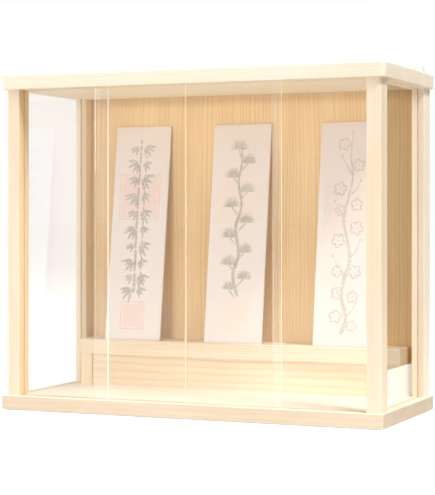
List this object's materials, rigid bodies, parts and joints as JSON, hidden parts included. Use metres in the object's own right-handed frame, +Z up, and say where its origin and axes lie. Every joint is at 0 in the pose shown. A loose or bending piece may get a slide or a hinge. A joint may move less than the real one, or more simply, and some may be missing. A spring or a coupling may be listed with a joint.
{
  "type": "kamidana",
  "caption": "Box-shaped household shrine shelf in pale wood, with clear sliding front panes, glass sides, an inner shelf and leaning paper talismans.",
  "frame": {"origin": "middle of the underside of the bounding box, on the surface the case stands on", "axes": "+X to the viewer's right, +Y to the back and the wall, +Z up"},
  "size_m": [0.439, 0.184, 0.378],
  "materials": {
    "wood_boards": "planed, unfinished",
    "wood_posts": "planed, unfinished",
    "wood_back": "planed, upright grain",
    "wood_shelf": "planed, unfinished",
    "side_glass": "clear",
    "door_glass": "clear, polished edges",
    "slip_paper": "white paper wrapped round a thin wooden slip",
    "hanger_metal": "plated",
    "screw_metal": "plated"
  },
  "bodies": {
    "case": {"top_board": "wood_boards", "base_board": "wood_boards", "post_front_left": "wood_posts", "post_front_right": "wood_posts", "post_back_left": "wood_posts", "post_back_right": "wood_posts", "back_panel": "wood_back", "shelf_board": "wood_shelf", "shelf_leg_left": "wood_shelf", "shelf_leg_right": "wood_shelf", "kick_board": "wood_shelf", "side_glass_left": "side_glass", "side_glass_right": "side_glass", "talisman_left": "slip_paper", "talisman_centre": "slip_paper", "talisman_right": "slip_paper", "hanger_left": "hanger_metal", "hanger_right": "hanger_metal", "hanger_screw_left_inner": "screw_metal", "hanger_screw_left_outer": "screw_metal", "hanger_screw_right_inner": "screw_metal", "hanger_screw_right_outer": "screw_metal"},
    "outer_left_pane": {"door_outer_left": "door_glass"},
    "inner_left_pane": {"door_inner_left": "door_glass"},
    "inner_right_pane": {"door_inner_right": "door_glass"},
    "outer_right_pane": {"door_outer_right": "door_glass"}
  },
  "joints": [
    {"name": "outer_left_slide", "type": "slide", "parent": "case", "child": "outer_left_pane", "axis": [1, 0, 0], "range_m": [0, 0.094]},
    {"name": "inner_left_slide", "type": "slide", "parent": "case", "child": "inner_left_pane", "axis": [-1, 0, 0], "range_m": [0, 0.089]},
    {"name": "inner_right_slide", "type": "slide", "parent": "case", "child": "inner_right_pane", "axis": [1, 0, 0], "range_m": [0, 0.092]},
    {"name": "outer_right_slide", "type": "slide", "parent": "case", "child": "outer_right_pane", "axis": [-1, 0, 0], "range_m": [0, 0.094]}
  ]
}
